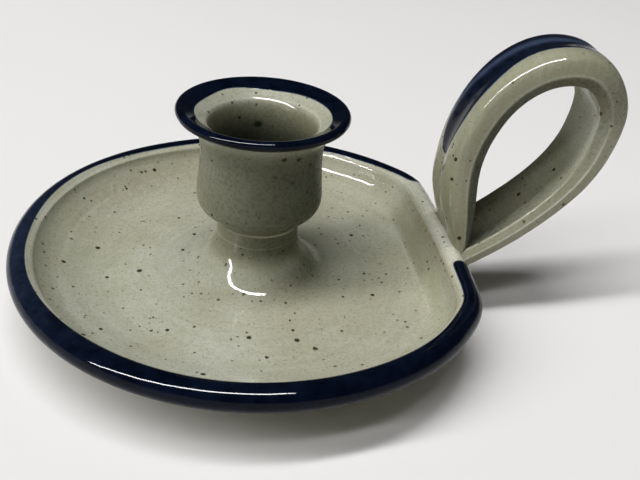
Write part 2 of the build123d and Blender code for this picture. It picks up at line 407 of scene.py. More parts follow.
def travel_at_roll_angle(angle):
    """Place along the wall's section of an angle round the roll."""
    return float(np.interp(-angle, -roll_angles, wall_travel[roll_start:roll_end]))


dish_points = dish_grid()
dish_columns = dish_points.shape[1]

# Blue coat on the rim: its edges lie along the wall's section, and its ends along the rim
coat_inner_angle = 124.0
coat_inner_edge = travel_at_roll_angle(coat_inner_angle)
coat_overrun = 4.2  # on down the outside from the roll's end
coat_outer_edge = wall_travel[roll_end - 1] + coat_overrun
coat_near_end = -14.0
coat_far_end = 27.5
coat_far_slope = 0.28  # how slowly the coat thins out at its far end
coat_narrowings = ((0.5, -2.5, 0.5), (0.6, 2.3, 0.5))
coat_thinning = (0.2, math.pi, 0.9)
coat_inner_waves = (0.14, 0.196, 0.14, 0.084, 0.14, 0.112)
coat_outer_waves = (0.125, 0.125, 0.1, 0.1)
coat_blend = 0.7
coat_fade = (-0.15, 0.4)


def rim_coat(section_place, travel, angle):
    """How thick the blue lies on the rim, from 0 to 1."""
    narrow = sum(bulge(shape, angle) for shape in coat_narrowings)
    inner = section_place - coat_inner_edge - narrow - wave(angle, coat_inner_waves, 8)
    outer = coat_outer_edge - section_place + wave(angle, coat_outer_waves, 9)
    before = coat_near_end - travel
    after = (travel - coat_far_end) * coat_far_slope
    ends = np.where(travel < 0, before, after)
    reach = soft_least((inner, outer, ends), coat_blend)
    return smooth_step(*coat_fade, reach) * (1 - bulge(coat_thinning, np.abs(angle)))


off_the_wall = -50.0  # place along the section of a column that isn't on the wall
wall_place = np.full((1, dish_columns), off_the_wall)
wall_place[0, wall_start : wall_start + len(wall_section)] = wall_travel
dish_coat = rim_coat(wall_place, rim_travel[:, None], rim_angle[:, None])

# Where the glaze lies thick in the hollows: strength, middle and width
column_height = dish_points[..., 2]
column_reach = np.hypot(dish_points[..., 0], dish_points[..., 1])
dent_half_length = 24.0
left_width = 0.5
at_dent = hump(0.0, dent_half_length, rim_travel)[:, None]
at_left = hump(math.pi, left_width, np.abs(rim_angle))[:, None]
wall_foot_pool = (0.15, wall_travel[8], 1.8)
mound_pool = (0.15, 13.5, 3.5)
dent_pool = 0.75
dent_pool_reach = 4.2
wall_middle = 0.5 * (wall_travel[2] + wall_travel[roll_start])
dish_pool = (1 + at_left) * bulge(wall_foot_pool, wall_place) + bulge(mound_pool, column_reach)
dish_pool += dent_pool * at_dent * hump(0.0, 1.0, ((wall_place - wall_middle) / dent_pool_reach) ** 3)

# Where it runs thin over edges, and painted highlights along some of them: brown lines are positive, pale
# ones negative
dent_edge_angle = 163.0
dent_crest_angle = 95.0
dent_edge_line = (0.9, travel_at_roll_angle(dent_edge_angle), 0.75)
# The dent roll's crest is pale from thin glaze, and made paler still as painted light
dent_crest_line = (-0.85, travel_at_roll_angle(dent_crest_angle), 2.4)
# Painted highlight along the dent wall's foot
dent_foot_highlight = (-0.4, wall_travel[1], 0.5)
# Painted highlight just inside the blue's inner edge
coat_edge_highlight = (-0.4, coat_inner_edge - 0.5, 0.3)
far_left_brown = (0.42, 49.0, 6.0)
far_left_brown_angle = 2.3
far_left_brown_width = 0.7
band_inset = 6  # columns of the roll that the coat's skin leaves free
band_overrun = 8  # columns that it runs on beyond the roll
band_first = wall_start + roll_start + band_inset
band_end = wall_start + roll_end + band_overrun
dent_lines = sum(bulge(line, wall_place) for line in (dent_edge_line, dent_crest_line, dent_foot_highlight))
dish_thin_and_highlight = dent_lines * at_dent + bulge(coat_edge_highlight, wall_place) * (1 - at_dent)
at_far_left = hump(0.0, far_left_brown_width, turn_from(far_left_brown_angle, rim_angle))[:, None]
inside_band = np.arange(dish_columns)[None, :] < band_first
dish_thin_and_highlight += bulge(far_left_brown, column_reach) * inside_band * at_far_left

# Painted shadow of the cup beside the stem: strength, angle and width
painted_stem_shadow = (0.5, -0.2, 0.8)
dark_ring_radius = 13.0
dark_ring_width = 3.5
dark_ring_level = 8.0
dark_ring = hump(dark_ring_radius, dark_ring_width, column_reach) * (column_height > dark_ring_level)
dish_painted_shade = bulge(painted_stem_shadow, rim_angle)[:, None] * dark_ring
dish_fields = {"coat": dish_coat, "pool": dish_pool, "thin": dish_thin_and_highlight, "painted_shade_and_spot": dish_painted_shade}
dish = capped_piece("dish_fired", dish_points, dish_fields, True)
crease_ring(dish, dish_columns, len(seat_hollow) - 1)

# The coat as a skin of its own, with the dish's normals turned over
band_rise = 0.2
band_depth = 0.35
band_far_overlap = 3.0
band_near_overlap = 2.5
after_far_end = np.where(rim_travel > coat_far_end - band_far_overlap)[0]
before_near_end = np.where(rim_travel < coat_near_end + band_near_overlap)[0]
band_part = np.ix_(np.concatenate([after_far_end, before_near_end]), np.arange(band_first, band_end))
band_normals = -grid_normals(dish_points, True)[band_part]
band_grid = dish_points[band_part]
band_coat = dish_coat[band_part]
band = skin_piece(
    "dish_rim_band_fired", band_grid, band_normals, band_coat, rise=band_rise, depth=band_depth
)

# Stem and candle cup

turn_steps = 256  # places round the stem and the cup
turns = np.linspace(0, 2 * math.pi, turn_steps, endpoint=False)
full_sway_radius = 12.0
shaded_turn = 0.6  # from the handle's direction to the near side, where painted shade darkens the glaze most
shaded_side = np.cos(turns + shaded_turn)[:, None]


def lathe(line, sway=0.0):
    """Grid of a thrown form: a line of distances and heights, turned with a sway."""
    rings = [ring_points(r + sway * min(r / full_sway_radius, 1.0), z, turns) for r, z in line]
    return np.stack(rings, axis=1)


stem_step = 6
stem_line = middle_line[middle_line[:, 0] < stem_seat - seat_gap][::stem_step]
stem_foot_inset = 0.2
stem_foot_level = 9.0
stem_foot = [(stem_seat, seat_height), (stem_seat - stem_foot_inset, stem_foot_level)]
stem_top = [(8.0, 24.2)]
stem_grid = lathe(np.vstack([stem_top, stem_line, stem_foot]))
stem_level = stem_grid[..., 2]
stem_neck_range = (13.5, 17.0)
stem_dark_range = (15.0, 19.0)
stem_flare_range = (17.0, 13.0)
stem_ring = (-0.6, 20.2, 0.16)
stem_ring_sway = 0.1
stem_pool = 0.15 + 0.7 * smooth_step(*stem_neck_range, stem_level)
stem_thin = bulge(stem_ring, stem_level + stem_ring_sway * np.sin(3 * turns)[:, None])
# Painted shade on the stem, darker on the shaded side, and the cup's painted shadow at its foot
stem_painted_shade = 0.3 * (1 + shaded_side) * smooth_step(*stem_dark_range, stem_level)
stem_painted_shade += bulge(painted_stem_shadow, turn_from(0.0, turns))[:, None] * smooth_step(*stem_flare_range, stem_level)
stem_fields = {"pool": stem_pool, "thin": stem_thin, "painted_shade_and_spot": stem_painted_shade}
stem = capped_piece("stem_fired", stem_grid, stem_fields, True)
crease_ring(stem, stem_grid.shape[1], stem_grid.shape[1] - len(stem_foot))

cup_outside = [
    (9.0, 23.3), (10.2, 23.85), (11.2, 24.85), (12.35, 25.95), (13.5, 26.95), (14.5, 28.05),
    (15.1, 29.3), (15.3, 30.8), (15.15, 33.0), (14.95, 35.4), (14.75, 37.8), (14.6, 40.6),
    (14.6, 43.0), (15.1, 45.6), (16.3, 47.9), (18.0, 49.6), (19.35, 50.55),
]
lip_edge = [(20.0, 51.1), (20.25, 51.85), (19.9, 52.5), (19.1, 52.65)]
cup_inside = [
    (17.9, 52.2), (16.2, 51.35), (14.6, 50.35), (13.55, 49.6), (12.95, 48.8), (12.55, 47.4), (12.15, 45.0),
    (12.0, 42.0), (12.0, 34.0), (12.0, 29.0), (11.4, 27.2), (9.5, 26.6), (4.0, 26.6),
]
cup_samples = 260
cup_sway = (0.054, 0.036, 0.0225)
lip_tilt = 0.13
lip_tilt_range = (44.0, 52.0)
cup_line = curve_through(cup_outside + lip_edge + cup_inside, cup_samples)
cup_grid = lathe(cup_line, wave(turns, cup_sway, 14))
cup_grid[..., 2] -= lip_tilt * smooth_step(*lip_tilt_range, cup_grid[..., 2]) * (1 + np.sin(turns))[:, None]
cup_level = cup_grid[..., 2]
cup_travel = line_travel(cup_line)
outside = np.arange(cup_samples) <= np.argmax(cup_line[:, 0])
inside = ~outside


def nearest_column(distances, allowed):
    """Column of the cup with the least distance, among those allowed."""
    return int(np.argmin(np.where(allowed, np.abs(distances), np.inf)))


# Blue coat on the lip
coat_under_height = 50.35
coat_over_radius = 15.7
coat_under_column = nearest_column(cup_line[:, 1] - coat_under_height, outside)
coat_over_column = nearest_column(cup_line[:, 0] - coat_over_radius, inside)
lip_under_waves = (0.096, 0.08, 0.08, 0.064, 0.064)
lip_over_waves = (0.11, 0.132, 0.11, 0.11, 0.088, 0.066)
lip_coat_fade = (-0.1, 0.45)


def lip_coat(travel, angle):
    """How thick the blue lies on the lip, from 0 to 1."""
    under = travel - cup_travel[coat_under_column] - wave(angle, lip_under_waves, 21)
    over = cup_travel[coat_over_column] - travel - wave(angle, lip_over_waves, 22)
    return smooth_step(*lip_coat_fade, np.minimum(under, over))


cup_coat = lip_coat(cup_travel[None, :], turns[:, None])

# Thick and thin glaze on the cup by height, painted shade in the bore and under the lip, and an iron spot
lip_pool_range = (50.0, 46.0)
bore_pool_range = (50.0, 46.5)
bore_dark_range = (51.0, 38.0)
cup_dark_range = (51.0, 46.0)
bore_spot_round = (1.2, 1.55, 0.065)
bore_spot_up = (1.0, 43.0, 0.6)
bore_edge_radius = 13.4
# Pale line at the bore's edge: glaze thin over the edge, and a painted highlight along it
bore_edge_place = cup_travel[nearest_column(cup_line[:, 0] - bore_edge_radius, inside)]
bore_edge_line = (-0.5, bore_edge_place, 0.45)
belly_line = (-0.4, 29.6, 0.16)
shoulder_line = (-0.5, 25.7, 0.13)
darkest = 1.1
# The olive pool outside is stronger on the shaded side: painted shade
cup_pool = (0.7 + 0.25 * shaded_side) * outside * (0.5 + 0.5 * smooth_step(*lip_pool_range, cup_level))
cup_pool += inside * smooth_step(*bore_pool_range, cup_level)
# Painted shade: the bore darkens with depth, and the outside under the lip, most on the shaded side
cup_shade_and_spot = inside * smooth_step(*bore_dark_range, cup_level)
cup_shade_and_spot += (0.43 + 0.3 * shaded_side) * outside * smooth_step(*cup_dark_range, cup_level)
# A real iron spot on the bore's wall
bore_spot = bulge(bore_spot_round, turns)[:, None] * bulge(bore_spot_up, cup_level) * inside
cup_shade_and_spot = np.minimum(cup_shade_and_spot + bore_spot, darkest)
cup_thin_and_highlight = bulge(bore_edge_line, cup_travel[None, :])
cup_thin_and_highlight = cup_thin_and_highlight + outside * (bulge(shoulder_line, cup_level) + bulge(belly_line, cup_level))
cup_fields = {"coat": cup_coat, "pool": cup_pool, "thin": cup_thin_and_highlight, "painted_shade_and_spot": cup_shade_and_spot}
cup = capped_piece("candle_cup_fired", cup_grid, cup_fields, True)

lip_overlap = 6  # columns that the skin runs on beyond the coat's edges
lip_columns = np.arange(coat_under_column - lip_overlap, coat_over_column + lip_overlap + 1)
lip_normals = grid_normals(cup_grid, True)[:, lip_columns]
lip_grid = cup_grid[:, lip_columns]
lip_band = skin_piece("cup_lip_band_fired", lip_grid, lip_normals, cup_coat[:, lip_columns], True)

joint_points = [(9.2, 23.0), (10.12, 23.25), (10.3, 23.6), (10.5, 24.0), (10.9, 24.4), (9.4, 24.6)]
joint_samples = 26
joint_ring = (-0.35, 23.7, 0.2)
joint_pool = 0.85
joint_grid = lathe(curve_through(joint_points, joint_samples))
joint_fields = {
    "pool": np.full(joint_grid.shape[:2], joint_pool),
    "thin": bulge(joint_ring, joint_grid[..., 2]),
}
cup_joint = capped_piece("cup_joint_fired", joint_grid, joint_fields, True)

# Handle: its middle line runs from the dish up over the crown and back, by X and Z

handle_turn = math.radians(-0.7)
handle_points = [
    (47.8, 11.5), (50.2, 15.4), (51.0, 18.9), (50.1, 25.6), (49.2, 31.5), (48.9, 37.0), (49.3, 43.0),
    (50.6, 48.8), (54.0, 56.3), (58.7, 61.9), (64.6, 65.5), (70.8, 66.6), (76.0, 65.5), (79.9, 62.0),
    (82.6, 55.9), (81.5, 46.0), (78.6, 39.1), (73.9, 32.8), (66.1, 25.4), (57.7, 19.2), (50.6, 15.0),
    (46.4, 12.9),
]
sections = 320
handle_ease = 14  # sections on either side that ease a change of size
handle_line = curve_through(handle_points, sections)
handle_share = np.linspace(0, 1, sections)
handle_tangent = unit(np.gradient(handle_line, axis=0))
handle_outward = np.stack([-handle_tangent[:, 1], handle_tangent[:, 0]], axis=1)


def smoothed(values, reach):
    """Values with their corners eased."""
    weights = np.hanning(2 * reach + 3)[1:-1]
    padded = np.pad(values, reach, mode="edge")
    return sum(w * padded[k : k + len(values)] for k, w in enumerate(weights)) / weights.sum()


def along_handle(*stops):
    """A size that changes along the handle, from stops of place along it and value."""
    places, values = zip(*stops)
    return smoothed(np.interp(handle_share, places, values), handle_ease)


half_width = along_handle(
    (0, 10.6), (0.06, 9.9), (0.12, 9.3), (0.2, 7.4), (0.32, 7.7),
    (0.45, 8.7), (0.65, 8.8), (0.85, 9.4), (1, 9.5),
)
half_depth = along_handle(
    (0, 1.3), (0.05, 1.5), (0.09, 2.8), (0.14, 3.95), (0.3, 4.0),
    (0.5, 4.0), (0.62, 3.6), (0.78, 2.8), (1, 2.4),
)
side_shift = along_handle((0, 1.35), (0.3, 0.6), (0.6, -0.16), (1, 0.0))
outer_groove = along_handle((0, 0.25), (0.2, 0.35), (0.5, 0.4), (0.75, 0.3), (1, 0.2))
inner_hollow = along_handle((0, 0.4), (0.1, 0.6), (0.3, 0.9), (0.6, 0.9), (0.9, 0.8), (1, 0.4))


def strap_outline(width, depth, hollow, groove):
    """Points of the strap's section, across and out of the loop, with chamfers at its inner edges."""
    half = [
        (0, hollow - depth), (0.5 * width, 0.75 * hollow - depth), (0.74 * width, 0.2 * hollow - depth),
        (0.87 * width, -depth), (0.9 * width, -0.93 * depth), (0.96 * width, -0.55 * depth),
        (0.995 * width, -0.32 * depth), (width, -0.22 * depth), (width, 0.1 * depth),
        (0.971 * width, 0.607 * depth), (0.911 * width, 0.772 * depth), (0.814 * width, 0.883 * depth),
        (0.67 * width, 0.955 * depth), (0.44 * width, depth - 0.1 * groove), (0, depth - groove),
    ]
    return half + [(-across, out) for across, out in half[-2:0:-1]]


def even_places(outline, spacing):
    """Places round an outline, counted in its points, that lie about one spacing apart."""
    spans = np.linalg.norm(np.roll(outline, -1, axis=0) - np.asarray(outline), axis=1)
    counts = np.maximum(2, np.round(spans / spacing)).astype(int)
    return np.concatenate([k + np.arange(count) / count for k, count in enumerate(counts)])


section_spacing = 0.34
usual_outline = strap_outline(width=8.6, depth=3.7, hollow=0.9, groove=0.4)
section_places = even_places(usual_outline, section_spacing)


def strap_section(row, widen):
    """Closed section of the strap at one row, or of a skirt round it."""
    width = half_width[row] + widen
    depth = half_depth[row] + widen
    return closed_curve(strap_outline(width, depth, inner_hollow[row], outer_groove[row]), section_places)


def strap_grid(rows, widen):
    """Grid of the strap, or of a skirt round it, over some of its sections."""
    grid = []
    for row, extra in zip(rows, widen):
        section = strap_section(row, extra)
        across = section[:, 0] + side_shift[row]
        x = handle_line[row, 0] + handle_outward[row, 0] * section[:, 1]
        z = handle_line[row, 1] + handle_outward[row, 1] * section[:, 1]
        plan_x = x * math.cos(handle_turn) - across * math.sin(handle_turn)
        plan_y = x * math.sin(handle_turn) + across * math.cos(handle_turn)
        grid.append(np.stack([plan_x, plan_y, z], axis=1))
    return np.stack(grid)


strap = strap_grid(np.arange(sections), np.zeros(sections))
strap_sections = np.stack([strap_section(row, 0.0) for row in range(sections)])
across_share = strap_sections[..., 0] / half_width[:, None]
out_share = strap_sections[..., 1] / half_depth[:, None]
along_share = handle_share[:, None]
outer_start = 0.05  # share of the half depth
is_outer = out_share[sections // 2] > outer_start

# Brush stroke over the shoulder and the crown: its edges across the strap, and its ends along it
stroke_near = along_handle(
    (0.2, -0.1), (0.226, -0.25), (0.238, -0.42), (0.27, -0.52), (0.33, -0.58), (0.36, -0.57), (0.39, -0.42),
    (0.41, -0.36), (0.44, -0.46), (0.47, -0.5), (0.5, -0.48), (0.56, -0.3), (0.6, 0.0),
)
stroke_far = along_handle((0.2, 0.2), (0.24, 0.62), (0.3, 0.85), (0.4, 0.92), (0.5, 0.9), (0.6, 0.6))
stroke_middle = along_handle(
    (0.3, 0.6), (0.34, 0.44), (0.38, 0.37), (0.42, 0.33), (0.45, 0.25), (0.49, 0.2)
)
stroke_start = 0.205
stroke_finish = 0.6
stroke_length_scale = 150.0  # about the strap's length
stroke_far_slope = 0.6
stroke_finish_slope = 0.4
stroke_blend = 0.8
stroke_fade = (-0.15, 0.75)
stroke_strength = 0.88
stroke_streak = 0.32  # how much thinner the blue is along the stroke's middle
stroke_streak_width = 0.13
smear_strength = 0.42
smears = ((0.195, 0.013, 0.62, 0.09), (0.178, 0.01, 0.02, 0.07))  # place and size along, then across


def stroke_coat():
    """How thick the blue lies on the strap, from 0 to 1."""
    near = (across_share - stroke_near[:, None]) * half_width[:, None]
    far = (stroke_far[:, None] - across_share) * half_width[:, None] * stroke_far_slope
    start = (along_share - stroke_start) * stroke_length_scale
    finish = (stroke_finish - along_share) * stroke_length_scale * stroke_finish_slope
    coat = smooth_step(*stroke_fade, soft_least((near, far, start, finish), stroke_blend))
    streak = hump(stroke_middle[:, None], stroke_streak_width, across_share)
    coat = stroke_strength * coat * (1 - stroke_streak * streak)
    smear = sum(
        hump(place, length, along_share) * hump(across, width, across_share)
        for place, length, across, width in smears
    )
    return np.maximum(coat, smear_strength * smear) * is_outer


strap_coat = stroke_coat()

# Thick and thin glaze on the strap's faces, chamfers and ridges, with painted shade and painted highlights
side_shares = (0.84, 0.9)
chamfer_shares = (-0.3, -0.48)
inner_face_shares = (-0.6, -0.8)
pale_ridge = (1.0, -0.25, 0.1)
brown_side = (0.4, 0.05, 0.25)
at_side = smooth_step(*side_shares, np.abs(across_share))
chamfer = smooth_step(*chamfer_shares, out_share) * at_side
inner_face = smooth_step(*inner_face_shares, out_share) * (1 - at_side)
root_range = (0.26, 0.12)  # of the upper limb, where the glaze is thicker
# Painted shade on the outer face near the loop's far end
loop_end_shade = (0.45, 0.56, 0.055)
# Painted shade on the chamfers, darkest along the upper limb, and on the inner face near the lower root
chamfer_shade = along_handle(
    (0, 0.3), (0.08, 0.8), (0.33, 0.85), (0.42, 0.7), (0.55, 0.6), (0.66, 0.2), (1, 0.0)
)
chamfer_brown = along_handle((0.33, 0.0), (0.42, 0.6), (0.55, 0.6), (0.62, 0.0))
# Pale glaze break along the ridges, made paler along the lower limb as a painted highlight
ridge_break_and_highlight = along_handle((0, 0.35), (0.6, 0.45), (0.7, 0.9), (0.96, 0.9), (1, 0.5))
inner_face_shade = along_handle((0.62, 0.0), (0.72, 0.12), (0.8, 0.35), (0.86, 0.65), (0.92, 0.85), (1, 0.9))
edge_lines = bulge(brown_side, out_share) - ridge_break_and_highlight[:, None] * bulge(pale_ridge, out_share)
strap_thin_and_highlight = edge_lines * at_side + chamfer_brown[:, None] * chamfer
strap_pool = 0.7 - 0.3 * inner_face - 0.1 * chamfer
strap_pool += 0.3 * smooth_step(*root_range, along_share) * (1 - inner_face)
strap_painted_shade = chamfer_shade[:, None] * chamfer + inner_face_shade[:, None] * inner_face
strap_painted_shade += bulge(loop_end_shade, along_share) * (1 - inner_face) * (1 - chamfer)
strap_fields = {"coat": strap_coat, "pool": strap_pool, "thin": strap_thin_and_highlight, "painted_shade_and_spot": strap_painted_shade}
handle = capped_piece("handle_strap_fired", strap, strap_fields, False)

# The stroke as a skin of its own, with the strap's normals turned over
stroke_overlap = 0.02
stroke_across = 0.985  # share of the strap's half width that the skin covers
stroke_columns = is_outer & (np.abs(across_share[sections // 2]) < stroke_across)
past_start = handle_share > stroke_start - stroke_overlap
before_finish = handle_share < stroke_finish + stroke_overlap
stroke_part = np.ix_(past_start & before_finish, stroke_columns)
stroke_grid = strap[stroke_part]
stroke_normals = -grid_normals(stroke_grid, False)
stroke = skin_piece("handle_stroke_fired", stroke_grid, stroke_normals, strap_coat[stroke_part])

# Skirts of clay where the strap's ends are worked on to the rim
skirt_power = 2.4
skirt_sink = 0.03
skirt_reach = 34  # sections from the strap's end to the skirt's edge
upper_rows = np.arange(2, skirt_reach)
upper_flare = 0.28
lower_rows = np.arange(sections - skirt_reach, sections - 1)
lower_flare = 0.5


def skirt_piece(name, rows, flare, first_share, last_share):
    """Skirt over some of the strap's sections, which flares where the share is 1."""
    widen = flare * np.linspace(first_share, last_share, len(rows)) ** skirt_power - skirt_sink
    fields = {"pool": strap_pool[rows], "thin": strap_thin_and_highlight[rows], "painted_shade_and_spot": strap_painted_shade[rows]}
    return capped_piece(name, strap_grid(rows, widen), fields, False)


upper_joint = skirt_piece("upper_handle_joint_fired", upper_rows, upper_flare, 1, 0)
lower_joint = skirt_piece("lower_handle_joint_fired", lower_rows, lower_flare, 0, 1)


# Materials: a socket's or a node's id_data is the node tree that it belongs to

def set_inputs(node, inputs):
    """Set or link a node's inputs, by name or number."""
    for key, value in inputs.items():
        if isinstance(value, bpy.types.NodeSocket):
            node.id_data.links.new(value, node.inputs[key])
        else:
            node.inputs[key].default_value = value


def add_node(tree, kind, inputs, **settings):
    """New shader node with its settings and inputs."""
    node = tree.nodes.new("ShaderNode" + kind)
    for key, value in settings.items():
        setattr(node, key, value)
    set_inputs(node, inputs)
    return node


def arithmetic(operation, first, second=0.0):
    """Result of one piece of arithmetic on a socket and a number or socket."""
    return add_node(first.id_data, "Math", {0: first, 1: second}, operation=operation).outputs[0]


def times(first, second):
    """Product of a socket and a number or socket."""
    return arithmetic("MULTIPLY", first, second)


def plus(first, second):
    """Sum of a socket and a number or socket."""
    return arithmetic("ADD", first, second)


def ramp(value, low, high, start=0.0, end=1.0):
    """Value carried smoothly from the range low to high into start to end."""
    inputs = {"Value": value, "From Min": low, "From Max": high, "To Min": start, "To Max": end}
    return add_node(value.id_data, "MapRange", inputs, interpolation_type="SMOOTHSTEP").outputs[0]


def mixed(share, first, second):
    """Colour between two colours."""
    made = add_node(share.id_data, "Mix", {0: share, 6: first, 7: second}, data_type="RGBA")
    return made.outputs[2]


def noise(place, scale, detail=3.0, roughness=0.55):
    """Cloudy noise."""
    inputs = {"Vector": place, "Scale": scale, "Detail": detail, "Roughness": roughness}
    return add_node(place.id_data, "TexNoise", inputs).outputs[0]


def field_value(tree, name):
    """Value that a piece's points carry, or 0 on a piece without that field."""
    return add_node(tree, "Attribute", {}, attribute_name=name).outputs["Fac"]


def place_in_millimetres(tree):
    """Place on the piece, in millimetres."""
    place = add_node(tree, "TexCoord", {}).outputs["Object"]
    inputs = {0: place, "Scale": 1.0 / millimetre}
    return add_node(tree, "VectorMath", inputs, operation="SCALE").outputs[0]


def speck_layer(place, cell, largest, cell_share, softness):
    """Specks of one kind, with sizes in millimetres."""
    tree = place.id_data
    cells = add_node(tree, "TexVoronoi", {"Vector": place, "Scale": 1.0 / cell}, feature="F1")
    pick = add_node(tree, "SeparateColor", {0: cells.outputs["Color"]}).outputs[0]
    inputs = {"Value": pick, "From Min": 1.0 - cell_share, "To Max": largest / cell}
    size = add_node(tree, "MapRange", inputs).outputs[0]
    inside_speck = arithmetic("SUBTRACT", size, cells.outputs["Distance"])
    return ramp(inside_speck, -softness / cell, softness / cell)


def new_material(name):
    """Material with nodes, its node tree and its shader."""
    material = bpy.data.materials.new(name)
    material.use_nodes = True
    tree = material.node_tree
    return material, tree, tree.nodes["Principled BSDF"]


pale_glaze = (0.49, 0.497, 0.407, 1.0)
grey_glaze = (0.405, 0.415, 0.312, 1.0)
warm_glaze = (0.4, 0.365, 0.26, 1.0)
mottled_glaze = (0.33, 0.335, 0.24, 1.0)
grainy_glaze = (0.25, 0.245, 0.17, 1.0)
olive_glaze = (0.265, 0.262, 0.165, 1.0)
brown_edge = (0.29, 0.24, 0.14, 1.0)
# Pale lines: glaze breaks, and painted highlights
pale_edge_and_highlight = (0.66, 0.66, 0.56, 1.0)
# Near-black green of painted shade
painted_shade_colour = (0.01, 0.018, 0.013, 1.0)
dark_grit = (0.02, 0.02, 0.013, 1.0)
thin_blue = (0.04, 0.056, 0.1, 1.0)
darker_blue = (0.001, 0.0021, 0.0068, 1.0)
lighter_blue = (0.0026, 0.0054, 0.0148, 1.0)
# Iron specks: spacing, greatest radius, share of cells that hold one, soft edge, strength and colour
glaze_specks = (
    (1.1, 0.24, 0.9, 0.09, 0.6, (0.16, 0.14, 0.085, 1.0)),
    (2.0, 0.42, 0.6, 0.1, 0.85, (0.06, 0.048, 0.026, 1.0)),
    (3.6, 0.72, 0.5, 0.12, 0.95, (0.026, 0.02, 0.011, 1.0)),
)
glaze_relief = 0.0002
glaze_index = 1.5
least_gloss = 0.06  # where the glaze is darkest


def glaze_material(name, gloss):
    """Grey-green stoneware glaze with iron specks, painted shade and highlights, and dark blue where a
    piece carries a coat.
    """
    material, tree, shader = new_material(name)
    place = place_in_millimetres(tree)
    coat, pool, thin, painted_shade_and_spot = (field_value(tree, field) for field in ("coat", "pool", "thin", "painted_shade_and_spot"))

    # Streaks that run round the axis, as throwing and dipping leave them
    parts = add_node(tree, "SeparateXYZ", {0: place})
    x, y = parts.outputs[:2]
    reach = arithmetic("SQRT", plus(times(x, x), times(y, y)))
    bearing = arithmetic("ARCTAN2", y, x)
    spiral = times(plus(reach, times(bearing, 1.6)), 0.5)
    round_x = arithmetic("COSINE", bearing)
    round_y = arithmetic("SINE", bearing)
    spun = add_node(tree, "CombineXYZ", {0: spiral, 1: round_x, 2: round_y}).outputs[0]
    streak = noise(spun, 0.9, roughness=0.6)

    # Ground colour: clouds, warm patches, mottle and grain
    cloud = noise(place, 0.055)
    warmth = noise(place, 0.026, detail=2.0, roughness=0.5)
    mottle = noise(place, 0.5, detail=4.0, roughness=0.6)
    grain = noise(place, 1.7, roughness=0.7)
    tone = plus(times(cloud, 0.6), times(streak, 0.4))
    ground = mixed(ramp(tone, 0.36, 0.64), pale_glaze, grey_glaze)
    ground = mixed(ramp(warmth, 0.45, 0.7, 0.0, 0.5), ground, warm_glaze)
    ground = mixed(ramp(mottle, 0.42, 0.75, 0.0, 0.2), ground, mottled_glaze)
    ground = mixed(ramp(grain, 0.44, 0.72, 0.0, 0.42), ground, grainy_glaze)

    # Thick and thin places, and painted shade
    pooled = times(pool, ramp(streak, 0.2, 0.7, 0.75, 1.0))
    ground = mixed(pooled, ground, olive_glaze)
    # The thin field carries brown and pale glaze breaks, and painted highlights
    broken = times(thin, ramp(mottle, 0.3, 0.6, 0.7, 1.0))
    ground = mixed(ramp(broken, 0.0, 1.0), ground, brown_edge)
    ground = mixed(ramp(times(broken, -1.0), 0.0, 1.0), ground, pale_edge_and_highlight)
    # Painted shade darkens the glaze towards near-black green
    light = plus(times(painted_shade_and_spot, -0.9), 1.0)
    ground = mixed(light, painted_shade_colour, ground)
    # More dark grit where the painted shade lies
    grit = ramp(noise(place, 1.25, detail=4.0, roughness=0.75), 0.42, 0.66)
    gritty = plus(times(painted_shade_and_spot, 0.4), 0.12)
    ground = mixed(times(grit, gritty), ground, dark_grit)

    # Iron specks, slightly ragged, from the smallest to the largest
    ragged = add_node(tree, "TexNoise", {"Vector": place, "Scale": 2.2, "Detail": 2.0})
    inputs = {0: ragged.outputs["Color"], 1: (0.45, 0.45, 0.45), 2: place}
    shaken = add_node(tree, "VectorMath", inputs, operation="MULTIPLY_ADD").outputs[0]
    for cell, largest, cell_share, softness, strength, tint in glaze_specks:
        speck = speck_layer(shaken, cell, largest, cell_share, softness)
        ground = mixed(times(speck, strength), ground, tint)

    # Cobalt blue, greyer where it lies thin
    ragged_coat = plus(coat, times(arithmetic("SUBTRACT", mottle, 0.5), 0.2))
    depth = noise(place, 0.22, roughness=0.6)
    deep_blue = mixed(ramp(depth, 0.3, 0.7), darker_blue, lighter_blue)
    blue = mixed(ramp(ragged_coat, 0.5, 0.95), thin_blue, deep_blue)
    finish = mixed(ramp(ragged_coat, 0.18, 0.6), ground, blue)

    # Gloss, and a faint orange-peel surface with the largest specks sunk in it
    rough = plus(ramp(mottle, 0.3, 0.75, 0.04, 0.09), times(painted_shade_and_spot, 0.3))
    dulled = ramp(painted_shade_and_spot, 0.0, 0.7, gloss, least_gloss)
    swell = noise(place, 0.16, detail=1.0, roughness=0.4)
    dimple = noise(place, 1.1, detail=1.0, roughness=0.4)
    relief = plus(times(swell, 0.6), times(dimple, 0.03))
    relief = arithmetic("SUBTRACT", relief, times(speck, 0.1))
    bump = add_node(tree, "Bump", {"Height": relief, "Distance": glaze_relief})
    set_inputs(shader, {"Base Color": finish, "Roughness": rough, "IOR": glaze_index})
    set_inputs(shader, {"Specular IOR Level": dulled, "Normal": bump.outputs[0]})
    return material


buff_clay = (0.5, 0.38, 0.26, 1.0)
toasted_clay = (0.4, 0.28, 0.17, 1.0)
clay_grit = (0.27, 0.19, 0.12, 1.0)
clay_speck = (0.05, 0.035, 0.02, 1.0)
clay_relief = 0.0002


